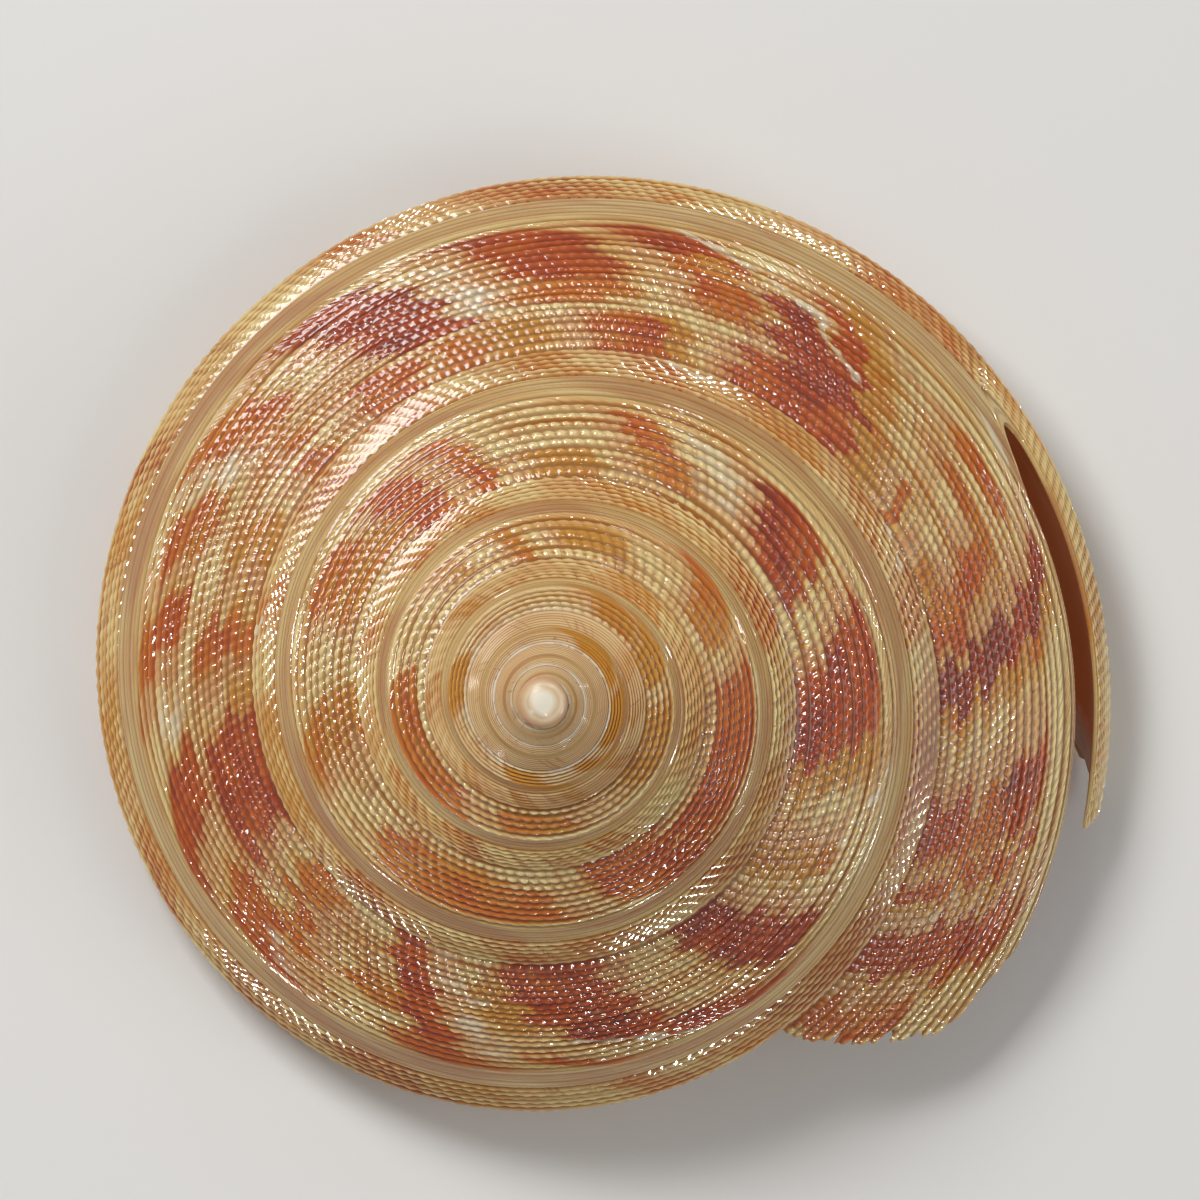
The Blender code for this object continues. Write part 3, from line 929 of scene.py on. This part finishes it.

# %% [markdown]
# ## Flames
# Each flame is given as the growth lines where it starts and ends, in degrees before the lip, the
# part of the wall that it covers, and its tint. A painter would mark them on the shell in the same
# way. For every point the strongest flame counts, and a little noise, different for each cord, bends
# its outline. In front of a flame there is often an ochre fringe.

# %% List of flames
TINTS = {"ochre": 0.02, "orange": 0.28, "rust": 0.45, "brick": 0.66, "red": 0.80, "wine": 0.98}
FLAMES = (
    # last turn, from the lip backwards: from, to, nearest and farthest place across, tint
    (-8, -1, 0.02, 0.45, "orange"), (-20, -13, 0.0, 0.66, "brick"), (-17, -11, 0.42, 0.72, "rust"),
    (-28, -25, 0.0, 0.66, "rust"), (-40, -31, 0.04, 0.24, "brick"), (-40, -30, 0.40, 0.64, "brick"),
    (-38, -29, 0.20, 0.44, "orange"), (-53, -50, 0.0, 0.72, "ochre"), (-60, -53, 0.0, 0.46, "wine"),
    (-59, -53, 0.44, 0.74, "red"), (-71, -62, 0.04, 0.22, "rust"), (-71, -65, 0.22, 0.44, "rust"),
    (-77, -70, 0.0, 0.12, "ochre"), (-80, -65, 0.42, 0.50, "orange"), (-79, -66, 0.56, 0.66, "orange"),
    (-86, -84, 0.0, 0.22, "orange"), (-96, -91, 0.0, 0.74, "ochre"), (-118, -96, -0.1, 0.22, "brick"),
    (-111, -95, 0.20, 0.42, "red"), (-110, -102, 0.40, 0.56, "red"), (-100, -94, 0.40, 0.66, "brick"),
    (-122, -113, 0.30, 0.66, "orange"), (-125, -111, 0.58, 0.72, "brick"),
    (-130, -126, 0.0, 0.24, "ochre"), (-141, -128, 0.04, 0.22, "rust"),
    (-148, -132, 0.28, 0.42, "orange"), (-147, -131, 0.40, 0.72, "brick"),
    (-156, -149, 0.03, 0.22, "ochre"), (-167, -158, 0.03, 0.20, "orange"),
    (-172, -158, 0.22, 0.72, "red"), (-181, -170, 0.0, 0.22, "rust"), (-197, -190, 0.0, 0.14, "orange"),
    (-194, -188, 0.18, 0.36, "orange"), (-192, -183, 0.36, 0.70, "orange"),
    (-213, -206, 0.0, 0.22, "ochre"), (-209, -200, 0.38, 0.64, "orange"),
    (-222, -214, 0.42, 0.72, "rust"), (-231, -223, 0.0, 0.36, "orange"),
    (-240, -235, 0.04, 0.14, "ochre"), (-249, -238, 0.40, 0.72, "brick"),
    (-262, -241, 0.03, 0.36, "brick"), (-270, -258, 0.40, 0.70, "rust"),
    (-276, -271, 0.0, 0.52, "orange"), (-298, -285, 0.60, 0.72, "rust"),
    (-282, -274, 0.05, 0.16, "orange"), (-294, -285, 0.34, 0.50, "orange"),
    (-301, -294, 0.0, 0.62, "brick"), (-317, -310, 0.15, 0.46, "ochre"),
    (-315, -308, 0.60, 0.72, "rust"), (-336, -316, 0.03, 0.42, "brick"),
    (-337, -321, 0.38, 0.58, "red"), (-345, -330, 0.54, 0.72, "brick"), (-366, -353, 0.0, 0.62, "red"),
    # the turn before
    (-400, -394, 0.0, 0.58, "ochre"), (-421, -399, 0.0, 0.32, "red"), (-425, -400, 0.28, 0.58, "brick"),
    (-381, -375, 0.0, 0.50, "ochre"), (-454, -436, 0.08, 0.54, "red"),
    (-485, -470, 0.10, 0.32, "orange"), (-486, -476, 0.28, 0.54, "rust"),
    (-511, -495, 0.0, 0.22, "ochre"), (-527, -521, 0.0, 0.58, "rust"), (-546, -534, 0.0, 0.54, "brick"),
    (-575, -545, 0.08, 0.32, "orange"), (-572, -553, 0.30, 0.54, "rust"),
    (-608, -595, 0.0, 0.60, "orange"), (-670, -640, 0.10, 0.30, "orange"),
    (-683, -632, 0.22, 0.56, "rust"), (-725, -697, 0.02, 0.58, "brick"),
    # earlier turns
    (-778, -725, 0.12, 0.54, "brick"), (-808, -790, 0.12, 0.60, "orange"),
    (-860, -836, 0.16, 0.42, "ochre"), (-880, -873, 0.0, 0.48, "orange"),
    (-905, -895, 0.18, 0.48, "ochre"), (-1004, -944, 0.12, 0.52, "rust"),
    (-1056, -1022, 0.12, 0.44, "orange"), (-1130, -1088, 0.0, 0.46, "ochre"),
    (-1166, -1142, 0.0, 0.52, "ochre"), (-1196, -1171, 0.06, 0.54, "orange"),
    (-1318, -1288, 0.10, 0.46, "ochre"), (-1401, -1374, 0.06, 0.54, "orange"),
    (-1441, -1428, 0.08, 0.54, "orange"), (-1500, -1458, 0.08, 0.46, "ochre"),
    (-1556, -1508, 0.08, 0.52, "orange"),
)
DASHES = (
    # below the band: from, to, tint
    (-27, -21, "ochre"), (-75, -55, "rust"), (-97, -93, "orange"), (-117, -100, "brick"),
    (-135, -128, "rust"), (-172, -164, "brick"), (-184, -174, "ochre"), (-212, -196, "ochre"),
    (-227, -215, "rust"), (-245, -234, "brick"), (-270, -253, "brick"), (-283, -268, "ochre"),
    (-305, -296, "rust"), (-315, -310, "orange"), (-345, -318, "brick"), (-366, -354, "brick"),
    (-375, -360, "red"), (-395, -385, "rust"), (-413, -401, "rust"), (-435, -418, "orange"),
    (-456, -444, "brick"), (-476, -463, "orange"), (-505, -490, "rust"), (-525, -510, "red"),
    (-545, -536, "rust"), (-590, -560, "ochre"), (-612, -598, "red"), (-645, -634, "brick"),
    (-668, -652, "rust"), (-700, -686, "red"), (-723, -708, "rust"), (-775, -750, "brick"),
    (-816, -804, "orange"), (-864, -846, "orange"), (-880, -869, "rust"), (-906, -892, "rust"),
    (-960, -944, "rust"), (-986, -972, "rust"), (-1041, -1024, "rust"), (-1090, -1078, "orange"),
    (-1160, -1136, "orange"), (-1240, -1226, "orange"), (-1282, -1270, "ochre"),
    (-1330, -1318, "orange"), (-1362, -1350, "orange"), (-1392, -1380, "orange"),
    (-1426, -1414, "orange"), (-1458, -1446, "orange"), (-1490, -1476, "orange"),
)
print(len(FLAMES), "flames and", len(DASHES), "dashes")

# %% [markdown]
# Scars are places where the lip once broke and healed. They are white and lie across the beads as
# short bent lines. A few smooth pale patches are worn places. Both are drawn with a brush: the
# distance from each point of the wall to a short line of points, in degrees and places across.

# %% List of scars and worn patches
SCARS = (
    ((-114, 0.72), (-109, 0.64), (-106, 0.59), (-102, 0.56), (-101, 0.46), (-98, 0.40)),
    ((-333, 0.69), (-330, 0.62), (-325, 0.56), (-321, 0.52)),
    ((-388, 0.66), (-384, 0.58), (-382, 0.50)),
    ((-400, 0.99), (-397, 0.93)), ((-444, 0.99), (-440, 0.93)), ((-543, 0.99), (-540, 0.90)),
    ((-63, 0.775), (-59, 0.785)),
)
PATCHES = (
    (-237, -227, 0.42, 0.66), (-200, -193, 0.38, 0.70), (-272, -266, 0.50, 0.68),
    (-159, -150, 0.22, 0.66), (-473, -457, 0.12, 0.52), (-607, -597, 0.60, 0.68),
    (-24, -22, 0.18, 0.36), (-309, -302, 0.0, 0.64),
)
SCAR_WIDTH = 0.38           # degrees
PLACE_IN_DEGREES = 22.0     # one whole wall counts as this many degrees for the brush
print(len(SCARS), "scars and", len(PATCHES), "worn patches")

# %% [markdown]
# Painting is done with numpy on all points of a stretch at once. A flame's two ends and two sides
# are soft steps, and their product is the flame's field. A scar is a line drawn with a round brush.

# %% Brushes
SOFT_END = 0.30             # soft part of a flame, as a share of its length
LONGEST_SOFT_END = 4.5      # degrees
SOFT_SIDE = 0.055
FROM_SUTURE = 0.05          # a flame that starts before this place comes out of the suture,
UNDER_SUTURE = 0.3          # and its soft side lies this far under the older turn
FRINGE = 1.9                # degrees of ochre in front of a flame
TAIL = 5.0                  # degrees of rose behind a flame
CORD_DRIFT = 2.4            # degrees that a cord's own drift moves a flame
WAVINESS = 1.2
DASH_FOOT = 1.13            # place across where the dashes below the band end
DASH_STRENGTH = 0.52
BASE_STREAKS = 24.0
BASE_STREAK_STRENGTH = 0.55
PATCH_STRENGTH = 0.55
random = np.random.default_rng(7)
cord_drifts = random.uniform(-0.5, 0.5, 64)


def soft_edge(place, soft, value):
    """0 before a place and 1 behind it."""
    return smooth_step(place - soft, place + soft, value)


def box_field(growth, across, start, end, top, foot):
    soft = min(LONGEST_SOFT_END, SOFT_END * (end - start))
    along = soft_edge(start, soft, growth) * (1.0 - soft_edge(end, soft, growth))
    return along * soft_edge(top, SOFT_SIDE, across) * (1.0 - soft_edge(foot, SOFT_SIDE, across))


def line_field(growth, across, points):
    """1 on a line of points and 0 past the brush's width. Points are handled as complex numbers."""
    here = growth + 1j * PLACE_IN_DEGREES * across
    corners = [degrees + 1j * PLACE_IN_DEGREES * place for degrees, place in points]
    nearest = np.full(len(growth), 99.0)
    for start, end in zip(corners, corners[1:]):
        part = np.clip(((here - start) / (end - start)).real, 0.0, 1.0)
        nearest = np.minimum(nearest, np.abs(here - mix(start, end, part)))
    return 1.0 - smooth_step(0.5 * SCAR_WIDTH, 2.0 * SCAR_WIDTH, nearest)


print("a stroke's sides are soft over", 2.0 * SOFT_SIDE, "of the wall")

# %% [markdown]
# Every cord drifts a little to and fro, so a flame's ends are ragged. The base has no listed
# flames. There, the dashes of the edge go on for a short way and give place to a rule of faint
# radial streaks. The fields are written on the points, where the material reads them.

# %% Paint a stretch
def write_attribute(mesh, name, values):
    layer = mesh.attributes.new(name, "FLOAT", "POINT")
    layer.data.foreach_set("value", values.astype(np.float32))


def all_strokes(turns, across):
    """Flames and dashes alike: from, to, top, foot, tint, place that top and foot mean, strength."""
    foot = band_middle(turns) + BAND_HALF_WIDTH - BAND_WIDENING * turns
    below_band = np.where(across > foot, (across - foot) / (DASH_FOOT - foot), -1.0)
    flames = [(*flame, across, 1.0) for flame in FLAMES]
    dashes = [(start, end, 0.0, 1.0, tint, below_band, DASH_STRENGTH) for start, end, tint in DASHES]
    return flames + dashes


def paint(stretch):
    mesh = stretch.data
    turns, across, cord = (read_attribute(mesh, name) for name in ("growth", "across", "cord"))
    size = np.exp(-TURN_GROWTH * turns / 3.0)
    drift = cord_drifts[np.floor(cord + 1.0).astype(int)] * CORD_DRIFT
    growth = turns * 360.0 + size * (drift + WAVINESS * np.sin(cord * 1.7 + turns * 40.0))
    flame, fringe, tail = (np.zeros(len(turns)) for _ in range(3))
    tints = np.full(len(turns), TINTS["orange"])
    for start, end, top, foot, tint, place, strength in all_strokes(turns, across):
        reach = (start - TAIL - LONGEST_SOFT_END, end + FRINGE + LONGEST_SOFT_END)
        if reach[1] < growth.min() or reach[0] > growth.max():
            continue
        top = top - UNDER_SUTURE if top < FROM_SUTURE else top
        body, before, behind = (
            box_field(growth, place, start - back, end + front, top, foot) * strength
            for back, front in ((0.0, 0.0), (0.0, FRINGE), (TAIL, 0.0)))
        tints = np.where(body > flame, TINTS[tint], tints)
        flame = np.maximum(flame, body)
        fringe = np.maximum(fringe, before)
        tail = np.maximum(tail, behind)
    streaks = wave(turns * BASE_STREAKS + 0.2 * np.sin(across * 9.0)) * wave(cord * 0.5 + 0.2)
    flame = np.maximum(flame, smooth_step(1.05, 1.2, across) * streaks * BASE_STREAK_STRENGTH)
    scar = np.zeros(len(turns))
    for points in SCARS:
        scar = np.maximum(scar, line_field(growth, across, points))
    for patch in PATCHES:
        scar = np.maximum(scar, PATCH_STRENGTH * box_field(growth, across, *patch))
    part = band_part(cord)
    band = smooth_step(-0.05, 0.05, part) * (1.0 - smooth_step(0.95, 1.05, part))
    for name, values in zip(PAINTED, (flame, fringe, tail, tints, scar, band)):
        write_attribute(mesh, name, values)


for stretch in stretches:
    paint(stretch)
print("painted", len(stretches), "stretches")

# %% [markdown]
# ## Tip and columella
# The shell's first turns are a smooth glossy knob, no wider than three millimetres. Inside, the
# turns wind round a pillar, the columella, and the mouth shows its last part. The grid of the wall
# would end in a needle at the apex, so the knob is made as a ball that is pressed flat.

# %% Tip of the spire
TIP_RADIUS = 0.00188
TIP_FLATTENING = 0.49
TIP_DEPTH = 0.00205         # centre of the knob below the apex of the cone
TIP_RINGS = (
    # place from the axis to the rim, colour
    (0.36, (0.84, 0.77, 0.62)), (0.62, (0.66, 0.47, 0.25)), (0.74, (0.74, 0.58, 0.38)),
    (0.88, (0.64, 0.40, 0.20)), (0.97, (0.62, 0.33, 0.18)),
)


def make_tip_material():
    material, tree = new_material("shell_tip")
    out = attribute(tree, "from_axis") + (object_noise(tree, 900.0) - 0.5) * 0.12
    rings = ramp(tree, out, TIP_RINGS)
    finish_surface(tree, {"Base Color": rings, "Roughness": 0.38, "Coat Weight": 0.15})
    return material


def new_piece(name, bm, material):
    bmesh.ops.recalc_face_normals(bm, faces=bm.faces)
    mesh = bpy.data.meshes.new(name)
    bm.to_mesh(mesh)
    bm.free()
    mesh.materials.append(material)
    mesh.shade_smooth()
    piece = bpy.data.objects.new(name, mesh)
    bpy.context.scene.collection.objects.link(piece)
    return piece


def make_tip():
    bm = bmesh.new()
    bmesh.ops.create_uvsphere(bm, u_segments=48, v_segments=24, radius=TIP_RADIUS)
    for vert in bm.verts:
        turn = math.atan2(vert.co.y, vert.co.x) / math.tau
        dent = 0.04 * math.cos(math.tau * (turn - vert.co.z / TIP_RADIUS))
        vert.co *= 1.0 - dent * math.hypot(vert.co.x, vert.co.y) / TIP_RADIUS
        vert.co.z = vert.co.z * TIP_FLATTENING - TIP_DEPTH
    out = np.array([math.hypot(vert.co.x, vert.co.y) / TIP_RADIUS for vert in bm.verts])
    tip = new_piece("shell_tip", bm, make_tip_material())
    write_attribute(tip.data, "from_axis", out)
    return tip


tip = make_tip()

# %% [markdown]
# The pillar could be turned on a lathe but for its fold, which winds round it like a screw thread.
# Here each ring's radius swells on one side, and the side moves on from ring to ring.

# %% Columella
PILLAR_TOP = -0.012
PILLAR_FOOT = -0.0474
PILLAR_TOP_RADIUS = 0.0012
PILLAR_FOOT_RADIUS = 0.0031
PILLAR_RINGS = 90
PILLAR_SIDES = 72
PILLAR_FLARE = 0.28         # how much wider the foot is
PILLAR_FLARING = (0.86, 0.97)
PILLAR_ROUNDING = 0.955     # part of the length where the foot starts to round off
PILLAR_FOLD = 0.10
PILLAR_TWIST = 260.0        # turns of the fold in one metre


def make_pillar():
    bm = bmesh.new()
    rings = []
    for ring in range(PILLAR_RINGS):
        part = ring / (PILLAR_RINGS - 1)
        height = PILLAR_TOP + part * (PILLAR_FOOT - PILLAR_TOP)
        radius = PILLAR_TOP_RADIUS + part * (PILLAR_FOOT_RADIUS - PILLAR_TOP_RADIUS)
        radius *= 1.0 + PILLAR_FLARE * smooth_step(*PILLAR_FLARING, part)
        rounding = clamp((part - PILLAR_ROUNDING) / (1.0 - PILLAR_ROUNDING))
        radius *= math.sqrt(1.0 - 0.75 * rounding ** 2)
        points = []
        for side in range(PILLAR_SIDES):
            angle = math.tau * side / PILLAR_SIDES
            fold = math.cos(angle + math.tau * PILLAR_TWIST * height) * (1.0 - part ** 6)
            out = radius * (1.0 + PILLAR_FOLD * fold)
            points.append(bm.verts.new((out * math.cos(angle), out * math.sin(angle), height)))
        rings.append(points)
    for upper, lower in zip(rings, rings[1:]):
        for side in range(PILLAR_SIDES):
            after = (side + 1) % PILLAR_SIDES
            bm.faces.new((upper[side], upper[after], lower[after], lower[side]))
    for ring, shift in ((rings[0], 0.0), (rings[-1], -0.0004)):
        centre = bm.verts.new((0.0, 0.0, ring[0].co.z + shift))
        for side in range(PILLAR_SIDES):
            bm.faces.new((ring[side], ring[(side + 1) % PILLAR_SIDES], centre))
    return new_piece("columella", bm, make_pillar_material())


def make_pillar_material():
    material, tree = new_material("shell_pillar")
    clouds = object_noise(tree, 260.0, 3.0)
    pearl = ramp(tree, clouds, ((0.3, PEARL), (0.5, PEARL_PALE), (0.7, PEARL_ROSE)))
    finish_surface(tree, {"Base Color": pearl, "Roughness": 0.26, "Coat Weight": 0.4})
    return material


pillar = make_pillar()

# %% [markdown]
# ## Put the shell in its place
# All pieces were made upright about the axis. Now their points take the lean of the solid, so that
# every object itself stays at the origin. Each piece rides on the one body and stands for the one
# solid.

pieces = stretches + [tip, pillar]
for piece in pieces:
    piece.data.transform(SHELL_PLACE)
    piece.data.update()
    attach(piece, "root")
    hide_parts("shell")
print(len(pieces), "pieces ride on the body")

# %% [markdown]
# ## Floor and light
# The shell lies on a plain pale table. A large soft lamp from the upper left gives the round shapes
# their shade, and a weaker one opposite fills it. A ring of small lamps makes the bright points that
# show how glossy the beads are.

# %% Floor
FLOOR_SIZE = 3.0
FLOOR_COLOUR = (0.78, 0.77, 0.75)


def make_floor():
    bm = bmesh.new()
    bmesh.ops.create_grid(bm, x_segments=1, y_segments=1, size=FLOOR_SIZE / 2.0)
    material, tree = new_material("floor_paper")
    shade = object_noise(tree, 6.0)
    paler = tuple(min(1.0, part * 1.03) for part in FLOOR_COLOUR)
    finish_surface(tree, {"Base Color": blend(tree, FLOOR_COLOUR, paler, shade), "Roughness": 0.9})
    floor = new_piece("floor", bm, material)
    return floor


floor = make_floor()

# %% [markdown]
# The ring of lamps lights only what is glossy, or each lamp would cast a shadow of its own on the
# floor. Every second one stands higher, so that beads on steep and on flat parts catch one.

# %% Lamps
LAMPS = (
    # name, place, size, watts
    ("soft_key", (-0.35, 0.35, 0.65), 0.30, 4.2),
    ("soft_fill", (0.55, -0.25, 0.55), 0.50, 1.5),
)
GLINTS = 7                  # small lamps in a ring round the shell
GLINT_DISTANCE = 0.60
GLINT_HEIGHTS = (32.0, 50.0)    # degrees above the floor, one after the other
GLINT_SIZE = 0.06
GLINT_WATTS = 0.8
WORLD_COLOUR = (1.0, 0.99, 0.97)
WORLD_STRENGTH = 0.24


def make_lamp(name, place, size, watts):
    data = bpy.data.lights.new(name, "AREA")
    data.shape = "SQUARE"
    data.size = size
    data.energy = watts
    lamp = bpy.data.objects.new(name, data)
    lamp.location = place
    lamp.rotation_euler = (-Vector(place)).to_track_quat("-Z", "Y").to_euler()
    bpy.context.scene.collection.objects.link(lamp)
    return lamp


def make_world():
    world = bpy.data.worlds.new("studio")
    world.use_nodes = True
    background = world.node_tree.nodes["Background"]
    background.inputs["Color"].default_value = (*WORLD_COLOUR, 1.0)
    background.inputs["Strength"].default_value = WORLD_STRENGTH
    bpy.context.scene.world = world


def glint_place(number):
    around = math.tau * (number + 0.3) / GLINTS
    up = math.radians(GLINT_HEIGHTS[number % 2])
    out = GLINT_DISTANCE * math.cos(up)
    return out * math.cos(around), out * math.sin(around), GLINT_DISTANCE * math.sin(up)


for lamp in LAMPS:
    make_lamp(*lamp)
for number in range(GLINTS):
    glint = make_lamp("glint_" + str(number + 1), glint_place(number), GLINT_SIZE, GLINT_WATTS)
    glint.visible_diffuse = False
make_world()
bpy.context.scene.view_settings.view_transform = "Standard"
print(len(LAMPS) + GLINTS, "lamps")
